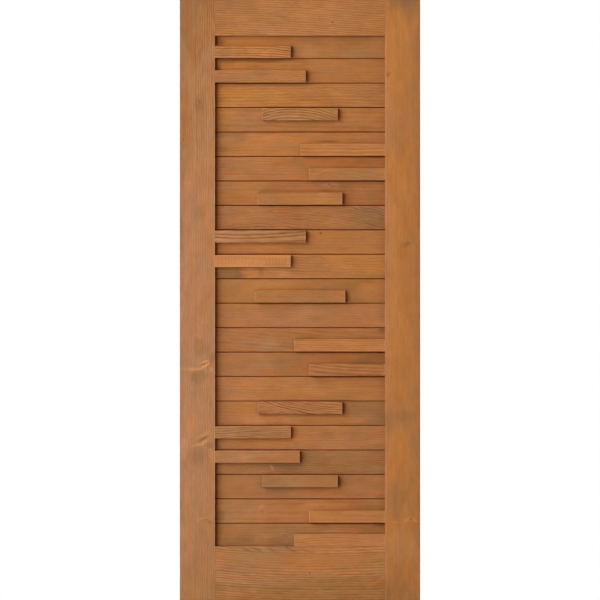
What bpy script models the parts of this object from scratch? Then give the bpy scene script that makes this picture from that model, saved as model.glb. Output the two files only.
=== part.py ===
"""A solid wood door: two full-height stiles, two rails butted between them, a recessed panel of
horizontal tongue-and-groove boards, and short raised bars planted on the panel's front.

Metres, +Z up. The width runs along +X and the front faces -Y. The origin is the middle of the
hinge edge: the outer edge of the left stile, at half the height and half the thickness.
"""

import math

import bmesh
import bpy
from mathutils import Vector

# Driving dimensions
DOOR_WIDTH = 0.800
DOOR_HEIGHT = 2.000
DOOR_THICKNESS = 0.035
STILE_WIDTH = 0.117
TOP_RAIL_HEIGHT = 0.120
BOTTOM_RAIL_HEIGHT = 0.180
BOARD_COUNT = 21
BOARD_PITCH = 0.0814
BOARD_THICKNESS = 0.015
BAR_HEIGHT = 0.040
SHORT, MEDIUM, LONG = 0.252, 0.282, 0.302

# Joinery
GAP = 0.0003  # between faces that touch
HOUSING_DEPTH = 0.010  # groove in the frame that takes the boards and the rails' stub tenons
HOUSED_BOARD = 0.009  # how far a board enters that groove, which leaves it room to swell
TONGUE_THICKNESS = 0.005
TONGUE_LENGTH = 0.006
V_JOINT = 0.0025  # chamfer on each board edge, front and back
EASED_ARRIS = 0.001  # radius that takes the sharpness off an edge
ARRIS_SEGMENTS = 2

# The bars from the top down: the board that carries each one, counted from the top, the half of
# that board which it covers, the part of the panel where it sits, and its length.
BARS = (
    (1, "lower", "left", SHORT),
    (2, "lower", "left", LONG),
    (4, "upper", "middle", SHORT),
    (5, "lower", "right", MEDIUM),
    (6, "lower", "right", SHORT),
    (7, "lower", "middle", MEDIUM),
    (9, "upper", "left", LONG),
    (10, "upper", "left", SHORT),
    (11, "lower", "middle", LONG),
    (13, "lower", "right", LONG),
    (14, "lower", "right", SHORT),
    (16, "upper", "middle", MEDIUM),
    (17, "upper", "left", SHORT),
    (18, "upper", "left", MEDIUM),
    (19, "upper", "middle", SHORT),
    (20, "lower", "right", SHORT),
    (21, "lower", "right", LONG),
)

# Worked out from the dimensions above
DOOR_TOP = DOOR_HEIGHT / 2
DOOR_BOTTOM = -DOOR_HEIGHT / 2
PANEL_LEFT = STILE_WIDTH
PANEL_RIGHT = DOOR_WIDTH - STILE_WIDTH
PANEL_TOP = DOOR_TOP - TOP_RAIL_HEIGHT
PANEL_BOTTOM = DOOR_BOTTOM + BOTTOM_RAIL_HEIGHT
END_BOARD_HEIGHT = (PANEL_TOP - PANEL_BOTTOM - (BOARD_COUNT - 2) * BOARD_PITCH) / 2
GROOVE_WIDTH = BOARD_THICKNESS + 2 * GAP

# Base colours, linear RGB
STILE_COLOUR = (0.42, 0.18, 0.07)
RAIL_COLOUR = (0.40, 0.16, 0.06)
BOARD_COLOUR = (0.36, 0.15, 0.05)
BAR_COLOUR = (0.43, 0.18, 0.06)


def clear_scene():
    for thing in list(bpy.data.objects):
        bpy.data.objects.remove(thing, do_unlink=True)


def stained_wood(name, colour):
    material = bpy.data.materials.new(name)
    material.use_nodes = True
    shader = material.node_tree.nodes["Principled BSDF"]
    shader.inputs["Base Color"].default_value = (*colour, 1.0)
    shader.inputs["Roughness"].default_value = 0.5
    shader.inputs["Metallic"].default_value = 0.0
    return material


def add_object(name, bm, material):
    """Turn a finished bmesh into a named object with its material."""
    bmesh.ops.recalc_face_normals(bm, faces=bm.faces)
    mesh = bpy.data.meshes.new(name)
    bm.to_mesh(mesh)
    bm.free()
    mesh.materials.append(material)
    thing = bpy.data.objects.new(name, mesh)
    bpy.context.collection.objects.link(thing)
    return thing


def eased_outline(corners):
    """The points of an outline whose corners are (u, v, radius), with radius 0 left sharp."""
    points = []
    for index, (u, v, radius) in enumerate(corners):
        corner = Vector((u, v))
        if radius == 0:
            points.append(corner)
            continue
        before = Vector(corners[index - 1][:2])
        after = Vector(corners[(index + 1) % len(corners)][:2])
        towards_before = (before - corner).normalized() * radius
        towards_after = (after - corner).normalized() * radius
        centre = corner + towards_before + towards_after
        for step in range(ARRIS_SEGMENTS + 1):
            angle = math.pi / 2 * step / ARRIS_SEGMENTS
            points.append(centre - towards_after * math.cos(angle) - towards_before * math.sin(angle))
    return points


def swept(outline, axis, start, end):
    """A closed bmesh: an outline of (y, z) points swept along X, or of (x, y) points along Z."""
    bm = bmesh.new()
    if axis == "X":
        section = [bm.verts.new((start, u, v)) for u, v in outline]
        travel = Vector((end - start, 0, 0))
    else:
        section = [bm.verts.new((u, v, start)) for u, v in outline]
        travel = Vector((0, 0, end - start))
    face = bm.faces.new(section)
    swept_part = bmesh.ops.extrude_face_region(bm, geom=[face])["geom"]
    moved = [item for item in swept_part if isinstance(item, bmesh.types.BMVert)]
    bmesh.ops.translate(bm, verts=moved, vec=travel)
    return bm


def stile(name, outer, inner, material):
    """A full-height upright, grooved along the inner edge for the rails and the boards."""
    towards_panel = math.copysign(1, inner - outer)
    groove_floor = inner - towards_panel * HOUSING_DEPTH
    face = DOOR_THICKNESS / 2
    cheek = GROOVE_WIDTH / 2
    outline = eased_outline(
        [
            (outer, -face, EASED_ARRIS),
            (inner, -face, 0),
            (inner, -cheek, 0),
            (groove_floor, -cheek, 0),
            (groove_floor, cheek, 0),
            (inner, cheek, 0),
            (inner, face, 0),
            (outer, face, EASED_ARRIS),
        ]
    )
    return add_object(name, swept(outline, "Z", DOOR_BOTTOM, DOOR_TOP), material)


def rail(name, outer, inner, material):
    """A crosspiece between the stiles, grooved along the panel, with a stub tenon at each end."""
    towards_panel = math.copysign(1, inner - outer)
    groove_floor = inner - towards_panel * HOUSING_DEPTH
    face = DOOR_THICKNESS / 2
    cheek = GROOVE_WIDTH / 2
    outline = eased_outline(
        [
            (-face, outer, EASED_ARRIS),
            (-face, inner, 0),
            (-cheek, inner, 0),
            (-cheek, groove_floor, 0),
            (cheek, groove_floor, 0),
            (cheek, inner, 0),
            (face, inner, 0),
            (face, outer, EASED_ARRIS),
        ]
    )
    bm = swept(outline, "X", PANEL_LEFT + GAP, PANEL_RIGHT - GAP)
    add_stub_tenons(bm)
    return add_object(name, bm, material)


def add_stub_tenons(bm):
    """Split each end of a rail at the tenon's two cheeks and draw the middle strip out."""
    half_tenon = BOARD_THICKNESS / 2
    for cheek in (-half_tenon, half_tenon):
        everything = bm.verts[:] + bm.edges[:] + bm.faces[:]
        bmesh.ops.bisect_plane(bm, geom=everything, plane_co=(0, cheek, 0), plane_no=(0, 1, 0))
    bmesh.ops.recalc_face_normals(bm, faces=bm.faces)
    shoulders = [face for face in bm.faces if abs(face.normal.x) > 0.9]
    strips = [face for face in shoulders if abs(face.calc_center_median().y) < half_tenon]
    for strip in strips:
        outwards = strip.normal * (HOUSING_DEPTH - GAP)
        drawn = bmesh.ops.extrude_face_region(bm, geom=[strip])["geom"]
        end_vertices = [item for item in drawn if isinstance(item, bmesh.types.BMVert)]
        bmesh.ops.translate(bm, verts=end_vertices, vec=outwards)
    bmesh.ops.delete(bm, geom=strips, context="FACES_ONLY")


def board_joint(number):
    """The height of the joint below a board, counted from the top."""
    return PANEL_TOP - END_BOARD_HEIGHT - (number - 1) * BOARD_PITCH


def board_top_edge(number):
    """The upper edge's outline from back to front: square in the rail's groove, or a tongue."""
    face = BOARD_THICKNESS / 2
    if number == 1:
        top = PANEL_TOP + HOUSED_BOARD
        return [(face, top), (-face, top)]
    top = board_joint(number - 1) - GAP / 2
    tongue = TONGUE_THICKNESS / 2
    tongue_tip = top + TONGUE_LENGTH
    return [
        (face, top - V_JOINT),
        (face - V_JOINT, top),
        (tongue, top),
        (tongue, tongue_tip),
        (-tongue, tongue_tip),
        (-tongue, top),
        (V_JOINT - face, top),
        (-face, top - V_JOINT),
    ]


def board_bottom_edge(number):
    """The lower edge's outline from front to back: square in the rail's groove, or a groove."""
    face = BOARD_THICKNESS / 2
    if number == BOARD_COUNT:
        bottom = PANEL_BOTTOM - HOUSED_BOARD
        return [(-face, bottom), (face, bottom)]
    bottom = board_joint(number) + GAP / 2
    groove = TONGUE_THICKNESS / 2 + GAP
    groove_floor = bottom + TONGUE_LENGTH
    return [
        (-face, bottom + V_JOINT),
        (V_JOINT - face, bottom),
        (-groove, bottom),
        (-groove, groove_floor),
        (groove, groove_floor),
        (groove, bottom),
        (face - V_JOINT, bottom),
        (face, bottom + V_JOINT),
    ]


def board(number, material):
    """A horizontal board across the panel, with its ends housed in the stiles."""
    outline = board_top_edge(number) + board_bottom_edge(number)
    bm = swept(outline, "X", PANEL_LEFT - HOUSED_BOARD, PANEL_RIGHT + HOUSED_BOARD)
    return add_object(f"board_{number:02d}", bm, material)


def bar_span(place, length):
    """Where a bar starts and ends: butted to a stile, or centred on the door."""
    if place == "left":
        start = PANEL_LEFT + GAP
    elif place == "right":
        start = PANEL_RIGHT - GAP - length
    else:
        start = (DOOR_WIDTH - length) / 2
    return start, start + length


def bar_bottom(number, half):
    """The height of a bar's lower edge: clear of the V-joint on the half of the board it covers."""
    if half == "upper":
        return board_joint(number - 1) - V_JOINT - BAR_HEIGHT
    if number == BOARD_COUNT:
        return PANEL_BOTTOM + GAP
    return board_joint(number) + V_JOINT


def bar(name, number, half, place, length, material):
    """A raised bar on a board, flush with the frame's face, with its free arrises eased."""
    start, end = bar_span(place, length)
    bottom = bar_bottom(number, half)
    front = -DOOR_THICKNESS / 2
    back = -BOARD_THICKNESS / 2 - GAP
    section = [
        (front, bottom),
        (front, bottom + BAR_HEIGHT),
        (back, bottom + BAR_HEIGHT),
        (back, bottom),
    ]
    bm = swept(section, "X", start, end)
    butted = {"left": start, "right": end}.get(place)
    eased = [edge for edge in bm.edges if is_free_front_edge(edge, front, butted)]
    bmesh.ops.bevel(
        bm, geom=eased, offset=EASED_ARRIS, segments=ARRIS_SEGMENTS, profile=0.5, affect="EDGES"
    )
    return add_object(name, bm, material)


def is_free_front_edge(edge, front, butted):
    """True for an edge in the front plane that doesn't meet a stile."""
    in_front = all(abs(vertex.co.y - front) < GAP for vertex in edge.verts)
    at_stile = butted is not None and all(abs(v.co.x - butted) < GAP for v in edge.verts)
    return in_front and not at_stile


def build_frame():
    stile_wood = stained_wood("stile", STILE_COLOUR)
    rail_wood = stained_wood("rail", RAIL_COLOUR)
    stile("stile_left", 0.0, PANEL_LEFT, stile_wood)
    stile("stile_right", DOOR_WIDTH, PANEL_RIGHT, stile_wood)
    rail("rail_top", DOOR_TOP, PANEL_TOP, rail_wood)
    rail("rail_bottom", DOOR_BOTTOM, PANEL_BOTTOM, rail_wood)


def build_panel():
    board_wood = stained_wood("board", BOARD_COLOUR)
    for number in range(1, BOARD_COUNT + 1):
        board(number, board_wood)


def build_bars():
    bar_wood = stained_wood("bar", BAR_COLOUR)
    for index, (number, half, place, length) in enumerate(BARS, start=1):
        bar(f"bar_{index:02d}", number, half, place, length, bar_wood)


clear_scene()
build_frame()
build_panel()
build_bars()
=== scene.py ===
"""The looks of a solid wood door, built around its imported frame.

Every piece is a finished copy of its CAD node, with eased edges and its own cut of stained
softwood. The wood is one solid texture: growth rings round a pith, fibres, blotches of stain and
knots, all worked out in metres from the piece's own middle.
"""

import math

import bmesh
import bpy
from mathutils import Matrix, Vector


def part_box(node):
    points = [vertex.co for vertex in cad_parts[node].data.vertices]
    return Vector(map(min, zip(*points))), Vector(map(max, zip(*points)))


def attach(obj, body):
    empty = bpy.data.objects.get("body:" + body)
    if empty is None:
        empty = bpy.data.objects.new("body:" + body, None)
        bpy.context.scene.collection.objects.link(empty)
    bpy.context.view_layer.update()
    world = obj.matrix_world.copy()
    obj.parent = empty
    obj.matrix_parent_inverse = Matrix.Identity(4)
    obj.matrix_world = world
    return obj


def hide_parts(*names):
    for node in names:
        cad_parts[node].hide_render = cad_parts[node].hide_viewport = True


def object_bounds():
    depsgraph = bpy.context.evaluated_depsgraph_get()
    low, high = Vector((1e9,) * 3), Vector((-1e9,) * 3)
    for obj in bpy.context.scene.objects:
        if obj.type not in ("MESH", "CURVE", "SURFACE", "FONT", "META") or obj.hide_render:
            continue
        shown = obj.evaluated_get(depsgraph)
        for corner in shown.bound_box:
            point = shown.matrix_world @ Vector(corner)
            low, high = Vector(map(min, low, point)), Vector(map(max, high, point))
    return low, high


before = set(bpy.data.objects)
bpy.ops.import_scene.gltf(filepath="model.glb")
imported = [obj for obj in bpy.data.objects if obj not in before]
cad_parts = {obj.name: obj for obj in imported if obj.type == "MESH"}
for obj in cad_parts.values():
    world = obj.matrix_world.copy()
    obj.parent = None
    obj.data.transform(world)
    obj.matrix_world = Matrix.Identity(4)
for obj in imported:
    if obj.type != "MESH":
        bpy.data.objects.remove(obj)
LOW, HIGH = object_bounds()
CENTRE = (LOW + HIGH) / 2
BOXES = {node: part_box(node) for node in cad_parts}


# --- Numbers in a shader ---


class Value:
    """A number in a shader. Arithmetic on it adds Math nodes to its tree."""

    def __init__(self, tree, socket):
        self.tree = tree
        self.socket = socket

    def math(self, operation, *others):
        node = self.tree.nodes.new("ShaderNodeMath")
        node.operation = operation
        for socket, value in zip(node.inputs, (self, *others)):
            feed(socket, value)
        return Value(self.tree, node.outputs[0])

    def __add__(self, other):
        return self.math("ADD", other)

    def __sub__(self, other):
        return self.math("SUBTRACT", other)

    def __rsub__(self, other):
        return self * -1.0 + other

    def __mul__(self, other):
        return self.math("MULTIPLY", other)

    def __truediv__(self, other):
        return self.math("DIVIDE", other)

    def __abs__(self):
        return self.math("ABSOLUTE")

    def ramp(self, low, high):
        """0 at low, 1 at high, and a smooth rise between them."""
        node = self.tree.nodes.new("ShaderNodeMapRange")
        node.interpolation_type = "SMOOTHSTEP"
        feed(node.inputs["Value"], self)
        feed(node.inputs["From Min"], low)
        feed(node.inputs["From Max"], high)
        return Value(self.tree, node.outputs["Result"])


def feed(socket, value):
    """Link a Value or an output socket into an input, or set the input to a plain value."""
    if isinstance(value, Value):
        value = value.socket
    if isinstance(value, bpy.types.NodeSocket):
        socket.id_data.links.new(value, socket)
    elif socket.type == "RGBA":
        socket.default_value = (*value, 1)
    else:
        socket.default_value = value


def length(first, second):
    return (first * first + second * second).math("SQRT")


def least(first, *others):
    for other in others:
        first = first.math("MINIMUM", other)
    return first


def greatest(first, *others):
    for other in others:
        first = first.math("MAXIMUM", other)
    return first


def vector(tree, x, y, z):
    node = tree.nodes.new("ShaderNodeCombineXYZ")
    for socket, value in zip(node.inputs, (x, y, z)):
        feed(socket, value)
    return node.outputs[0]


def split_vector(tree, socket):
    """The three Values that a vector is made of."""
    node = tree.nodes.new("ShaderNodeSeparateXYZ")
    feed(node.inputs[0], socket)
    return [Value(tree, part) for part in node.outputs]


def blended(tree, factor, first, second):
    """The first colour where the factor is 0, and the second where it is 1."""
    node = tree.nodes.new("ShaderNodeMix")
    node.data_type = "RGBA"
    ends = [socket for socket in node.inputs if socket.type == "RGBA"]
    feed(node.inputs[0], factor)
    feed(ends[0], first)
    feed(ends[1], second)
    return next(socket for socket in node.outputs if socket.type == "RGBA")


def tinted(tree, colour, amount, share):
    """The colour times 1 + amount x share, with a share for each of red, green and blue."""
    gains = [amount * part + 1.0 for part in share]
    node = tree.nodes.new("ShaderNodeVectorMath")
    node.operation = "MULTIPLY"
    feed(node.inputs[0], colour)
    feed(node.inputs[1], vector(tree, *gains))
    return node.outputs[0]


# The layers of noise in the wood: the waves a metre along, across and through it, the detail and,
# where it isn't a half, the roughness.
LAYERS = {
    "wander": ((1.3, 3.0, 3.0), 1.0),
    "drift": ((0.9, 2.0, 9.0), 1.0),
    "swirl": ((14.0, 26.0, 26.0), 1.0),
    "wobble": ((9.0, 32.0, 32.0), 2.0),
    "waver": ((26.0, 55.0, 55.0), 1.0),
    "slow years": ((25.0, 3.7, 1.0), 1.0),  # along a radius, and by the seed
    "steadiness": ((20.0, 70.0, 70.0), 1.0),
    "fine fibre": ((40.0, 620.0, 620.0), 2.0),
    "coarse fibre": ((24.0, 170.0, 170.0), 2.0),
    "cloud": ((12.0, 24.0, 24.0), 3.0, 0.6),
    "streak": ((16.0, 62.0, 62.0), 1.0),
    "mottle": ((80.0, 110.0, 110.0), 1.0),
    "curl": ((24.0, 30.0, 30.0), 2.0),
    "coolness": ((6.0, 24.0, 24.0), 2.0),
    "blush": ((16.0, 90.0, 90.0), 2.0),
    "ragged edge": ((9.0, 34.0, 20.0), 3.0, 0.6),
}


def noise(name, place):
    """One layer of smooth noise about zero, at a place along, across and through the wood."""
    scales, detail, *roughness = LAYERS[name]
    tree = place[0].tree
    parts = [coordinate * scale for coordinate, scale in zip(place, scales)]
    node = tree.nodes.new("ShaderNodeTexNoise")
    feed(node.inputs["Vector"], vector(tree, *parts))
    feed(node.inputs["Scale"], 1.0)
    feed(node.inputs["Detail"], detail)
    feed(node.inputs["Roughness"], roughness[0] if roughness else 0.5)
    return (Value(tree, node.outputs[0]) - 0.5) * 2.0


# --- Stain ---


def linear(red, green, blue):
    """A shader colour from the red, green and blue that a display shows, out of 255."""
    return [((value / 255 + 0.055) / 1.055) ** 2.4 for value in (red, green, blue)]


TONES = {
    "honey": linear(171, 111, 62),
    "ochre": linear(166, 106, 57),
    "amber": linear(181, 117, 65),
    "gold": linear(181, 117, 59),
    "tan": linear(175, 114, 67),
    "rose": linear(176, 122, 84),
    "mauve": linear(169, 111, 67),
    "clay": linear(170, 108, 59),
    "rust": linear(172, 105, 52),
    "russet": linear(164, 101, 54),
    "olive": linear(163, 110, 63),
    "sage": linear(167, 114, 71),
    "moss": linear(157, 105, 61),
    "umber": linear(153, 97, 52),
    "brown": linear(155, 104, 57),
    "slate": linear(146, 101, 65),
    "blond": linear(196, 129, 77),
    # A dark brown painted as shadow under the bars and the top rail and at the boards' ends.
    "bark": linear(128, 78, 38),
    "peach": linear(208, 142, 98),
    # A pale tone, for rubbed arrises and for painted highlights along arrises.
    "worn_and_lit": linear(198, 148, 106),
}

# How much each of these changes red, green and blue, as shares for tinted.
STAIN_AND_SHADE_TINT = (-0.54, -0.82, -1.0)
LINE = (-0.68, -1.0, -1.57)
CLOUD = (-1.0, -1.0, -1.12)
COOL = (-0.025, 0.012, 0.12)
BLUSH = (0.026, -0.023, 0.0)

# --- Softwood ---

WOOD_INPUTS = {
    "Along": 0.0, "Across": 0.0, "Depth": 0.0, "Seed": 0.0, "Pith across": 0.3, "Pith depth": 0.12,
    "Tilt": 0.0, "Bow": 0.0, "Bow centre": 0.0, "Swirl": 0.0, "Waver": 1.0, "Ring width": 0.0075,
    "Ring shift": 0.0, "Uneven": 1.0, "Figure": 0.6, "Ripple": 0.0,
}
WOOD_OUTPUTS = ("Lines", "Cloud", "Coolness", "Blush", "Relief")

# Metres along the wood from one seed to the next, and to where coolness and blush are read, and
# years from one seed to the next.
SEED_STEP = 7.31
COOLNESS_START = 31.7
BLUSH_START = 57.3
YEAR_SEED_STEP = 3.3

# How far the rings stray, in metres.
WANDER = 0.012
WOBBLE = 0.0025
WAVER = 0.0035

# The part of a year where the dark latewood sets in, and where it stops.
LATEWOOD_STARTS = (0.30, 0.80)
LATEWOOD_STOPS = (0.86, 1.0)
LATEWOOD_MEAN = 0.38

# How much years differ in width and in darkness, and a year's usual darkness.
UNEVEN_WIDTH = 0.9
UNEVEN_DARKNESS = 0.7
USUAL_DARKNESS = 0.9
UNSTEADINESS = 0.8

# What each layer adds to the lines, to the cloud and to the relief.
LATEWOOD_LINES, FINE_LINES, COARSE_LINES = 0.52, 0.18, 0.34
CLOUD_STAIN, STREAK_STAIN, MOTTLE_STAIN = 0.20, 0.10, 0.06
FINE_RELIEF = 0.4
HUE_STRENGTH = 3.0

# A curl across the grain: its radians a metre, and how many the noise moves it by.
RIPPLE_TURN = 560.0
RIPPLE_STRAY = 7.0


def ring_radius(wood, place):
    """How far a place is from the pith, after all that bends and stirs the rings."""
    bent = wood["Along"] - wood["Bow centre"]
    lean = wood["Along"] * wood["Tilt"] + bent * bent * wood["Bow"] + wood["Ring shift"]
    radius = length(
        wood["Across"] - wood["Pith across"] + lean + noise("wander", place) * WANDER,
        wood["Depth"] - wood["Pith depth"] + noise("drift", place) * WANDER,
    )
    swirl = noise("swirl", place) * wood["Swirl"]
    waver = noise("waver", place) * wood["Waver"] * WAVER
    return radius + swirl + noise("wobble", place) * WOBBLE + waver


def latewood(wood, radius):
    """The dark part of each year's ring, which differs from year to year."""
    slow_years = noise("slow years", (radius, wood["Seed"], wood["Seed"]))
    ring = radius / wood["Ring width"] + slow_years * wood["Uneven"] * UNEVEN_WIDTH
    season = ring.math("FRACT")
    late = season.ramp(*LATEWOOD_STARTS) * (1.0 - season.ramp(*LATEWOOD_STOPS))
    year = ring.tree.nodes.new("ShaderNodeTexWhiteNoise")
    year.noise_dimensions = "1D"
    feed(year.inputs["W"], ring.math("FLOOR") + wood["Seed"] * YEAR_SEED_STEP)
    differs = (Value(ring.tree, year.outputs["Value"]) - 0.5) * wood["Uneven"] * UNEVEN_DARKNESS
    return late * (differs + USUAL_DARKNESS)


def softwood_group():
    """A node group for a place in the wood: its lines, clouds, coolness, blush and relief.

    Rings run round a pith, which lies beside and behind the piece. Tilt and Bow lean and bend them
    along the piece, Swirl stirs them, Waver is how unsteady they are, Uneven is how much the years
    differ, Figure is how strongly the lines show, and Ripple is a curl across the grain.
    """
    tree = bpy.data.node_groups.new("softwood", "ShaderNodeTree")
    for name, value in WOOD_INPUTS.items():
        socket = tree.interface.new_socket(name=name, in_out="INPUT", socket_type="NodeSocketFloat")
        socket.default_value = value
    for name in WOOD_OUTPUTS:
        tree.interface.new_socket(name=name, in_out="OUTPUT", socket_type="NodeSocketFloat")
    given = tree.nodes.new("NodeGroupInput")
    wood = {name: Value(tree, given.outputs[name]) for name in WOOD_INPUTS}
    along = wood["Along"] + wood["Seed"] * SEED_STEP
    place = (along, wood["Across"], wood["Depth"])
    cool_place = (along + COOLNESS_START, wood["Across"], wood["Depth"])
    blush_place = (along + BLUSH_START, wood["Across"], wood["Depth"])

    late = latewood(wood, ring_radius(wood, place))
    steadiness = noise("steadiness", place) * wood["Waver"] * UNSTEADINESS + 1.0
    fine = noise("fine fibre", place)
    lines = (late - LATEWOOD_MEAN) * steadiness * LATEWOOD_LINES + fine * FINE_LINES
    lines = lines + noise("coarse fibre", place) * COARSE_LINES
    stain = noise("cloud", place) * CLOUD_STAIN + noise("streak", place) * STREAK_STAIN
    stain = stain + noise("mottle", place) * MOTTLE_STAIN
    ripple = (along * RIPPLE_TURN + noise("curl", place) * RIPPLE_STRAY).math("SINE")

    result = tree.nodes.new("NodeGroupOutput")
    feed(result.inputs["Lines"], lines * wood["Figure"])
    feed(result.inputs["Cloud"], stain + ripple * wood["Ripple"])
    feed(result.inputs["Coolness"], noise("coolness", cool_place) * HUE_STRENGTH)
    feed(result.inputs["Blush"], noise("blush", blush_place) * HUE_STRENGTH)
    feed(result.inputs["Relief"], late * wood["Figure"] + fine * FINE_RELIEF)
    return tree


SOFTWOOD = softwood_group()


def turned(along, across, angle):
    """The same place, on axes turned away from the grain."""
    cosine = math.cos(angle)
    sine = math.sin(angle)
    return along * cosine + across * sine, across * cosine - along * sine


class Patch:
    """A soft-edged patch of another tone, placed from the middle of its piece.

    figure is how many times as strongly the lines show under it.
    """

    EDGE = (1.35, 0.35)  # where the edge starts and the patch is whole, in half sizes

    def __init__(
        self, tone, along, across, half_length, half_width, strength, slant=0.0, figure=1.0
    ):
        self.figure = figure
        self.tone = tone
        self.centre = (along, across)
        self.half_size = (half_length, half_width)
        self.strength = strength
        self.slant = math.radians(slant)

    def cover(self, along, across, ragged):
        """How far the patch covers the tone under it, at a place with a ragged edge."""
        along, across = turned(along - self.centre[0], across - self.centre[1], self.slant)
        away = length(along / self.half_size[0], across / self.half_size[1])
        return (away + ragged).ramp(*self.EDGE) * self.strength


BAND_HALF_WIDTH = 0.05


def band(tone, along, half_length, strength):
    """A patch that runs right across a board."""
    return Patch(tone, along, 0, half_length, BAND_HALF_WIDTH, strength)


class Knot:
    """A knot, or a branch cut along its length, which the grain goes round.

    crowd is how much more the lines show where they go round it.
    """

    # Where each of these starts and where it is whole, in radii from the knot's centre
    HALO = (2.6, 1.1)
    CORE = (1.3, 0.5)
    CROWD = (4.0, 1.5)
    BULGE = (4.0, 0.6)

    HALO_STRENGTH = 0.75
    RAGGEDNESS = 0.3
    OWN_RINGS = 2.4  # radians a radius
    OWN_RING_STRENGTH = 0.12
    DARKNESS = 0.26
    BULGE_SIZE = 1.2
    BULGE_SOFTNESS = 0.6

    def __init__(
        self, along, across, radius, stretch=1.3, slant=0.0, dark=1.0, halo="amber", crowd=0.0
    ):
        self.centre = (along, across)
        self.radius = radius
        self.stretch = stretch
        self.slant = math.radians(slant)
        self.dark = dark
        self.halo = halo
        self.crowd = crowd

    def place(self, along, across):
        """The way from the knot's centre along its own long and short axes, in radii."""
        along, across = turned(along - self.centre[0], across - self.centre[1], self.slant)
        return along / (self.radius * self.stretch), across / self.radius

    def over(self, lines, away, ragged):
        """The lines with the knot's own rings over them, and crowded round it."""
        own = (away * self.OWN_RINGS + ragged).math("SINE") * self.OWN_RING_STRENGTH
        core = own + self.DARKNESS
        lines = lines * (away.ramp(*self.CROWD) * self.crowd + 1.0)
        return lines + away.ramp(*self.CORE) * core * self.dark

    def bulge(self, away, sideways):
        """How far the knot pushes the rings aside."""
        side = sideways / (abs(sideways) + self.BULGE_SOFTNESS)
        return side * away.ramp(*self.BULGE) * (self.radius * self.BULGE_SIZE)


class Cut:
    """How one piece was sawn and stained.

    tone and end are its tones at the left or lower end and at the other, marks are its patches and
    knots, thirst is how much darker it took the stain, joint is how much of that has gathered in
    its V-joints, wear_and_highlight is how far its arrises are rubbed pale and lit with painted
    highlight, and grain is its softwood inputs.
    """

    def __init__(self, tone, marks=(), end=None, thirst=0.0, joint=1.0, wear_and_highlight=0.12, **grain):
        self.start = tone
        self.end = end or tone
        self.patches = [mark for mark in marks if isinstance(mark, Patch)]
        self.knots = [mark for mark in marks if isinstance(mark, Knot)]
        self.thirst = thirst
        self.joint = joint
        self.wear_and_highlight = wear_and_highlight
        self.grain = grain


# --- Stain in the joints, and painted shade in corners and on edges ---

RECESS_LOW = Vector((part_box("stile_left")[1].x, 0.0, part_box("rail_bottom")[1].z))
RECESS_HIGH = Vector((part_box("stile_right")[0].x, 0.0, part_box("rail_top")[0].z))
BOARD_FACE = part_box("board_01")[1].y

# How far from a face, in metres, a darkening starts and is whole, and how much of it there is.
# ROUND_OUTLINE darkens the arrises round the outline, and the rest are painted shade on the door's
# edges, in the recess's corners and round the bars.
ROUND_OUTLINE = ((0.0045, 0.001, 0.45),)
EDGE_SHADE = ((0.0008, 0.0002, 0.5),)
SHADE_AT_FRAME = ((0.035, 0.004, 0.12), (0.006, 0.0, 0.25))
SHADE_AT_SILL = ((0.006, 0.0, 0.15),)
SHADE_AT_BAR = ((0.012, 0.001, 0.08), (0.004, 0.0, 0.22))
BAR_REACH = 0.01

# Where a board's V-joint is clean and where it is full of stain, and where its back half ends and
# its front half starts, as places through the board.
V_JOINT_STAIN = (BOARD_FACE - 0.0001, BOARD_FACE - 0.0015)
FRONT_HALF = (0.002, -0.002)


def darkening_at(away, layers):
    """How much darkening, for stain and painted shade alike, lies at a distance from a face."""
    parts = [away.ramp(start, whole) * share for start, whole, share in layers]
    return sum(parts[1:], parts[0])


def bars_over(board):
    """The boxes of the bars that cover part of a board."""
    low, high = BOXES[board]
    boxes = [BOXES[node] for node in sorted(BOXES) if node.startswith("bar_")]
    return [
        box for box in boxes if box[0].z < high.z + BAR_REACH and box[1].z > low.z - BAR_REACH
    ]


def outline_darkening_and_edge_shade(world, y):
    """Painted shade on the door's outer edges, and darkening along the arrises round its outline."""
    x, _, z = world
    to_outline = least(x - LOW.x, HIGH.x - x, z - LOW.z, HIGH.z - z)
    to_face = HIGH.y - abs(y)
    arris = darkening_at(length(to_outline, to_face), ROUND_OUTLINE)
    return greatest(arris, darkening_at(to_outline, EDGE_SHADE))


def joint_stain_and_recess_shade(board, joint):
    """Painted shade along the frame, the sill and the bars on a board, and as much stain as joint
    in its joints.
    """
    bars = bars_over(board)

    def stain_and_shade(world, y):
        x, _, z = world
        to_frame = least(
            x - RECESS_LOW.x, RECESS_HIGH.x - x, z - RECESS_LOW.z, RECESS_HIGH.z - z
        )
        in_joint = abs(y).ramp(*V_JOINT_STAIN) * joint
        # Painted shade in the corners of the recess, and round the bars.
        corner = darkening_at(to_frame, SHADE_AT_FRAME) + darkening_at(z - RECESS_LOW.z, SHADE_AT_SILL)
        at_front = y.ramp(*FRONT_HALF)
        for low, high in bars:
            beside = abs(x - (low.x + high.x) / 2) - (high.x - low.x) / 2
            above = abs(z - (low.z + high.z) / 2) - (high.z - low.z) / 2
            away = length(greatest(beside, 0.0), greatest(above, 0.0))
            corner = greatest(corner, darkening_at(away, SHADE_AT_BAR) * at_front)
        return greatest(in_joint, corner)

    return stain_and_shade


# --- The finish of a piece ---

TURN_OF_TONE = (-0.7, 0.7)  # from one tone to the other, in half lengths from the middle
TURN_RAGGEDNESS = 0.9
END_GRAIN = 0.40  # how much more stain the end grain took
ENDS_FACE = (0.5, 0.95)
WORN_AND_LIT_ARRIS = (0.0025, 0.0004)  # where the wear and painted highlight start and are whole, from the arris
WORN_AND_LIT_RAGGEDNESS = 0.8
ROUGHNESS, LINE_ROUGHNESS, RAGGED_ROUGHNESS = 0.5, 0.25, 0.05
SPECULAR = 0.3
RELIEF_STRENGTH = 0.4
RELIEF_HEIGHT = 0.00015


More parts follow.
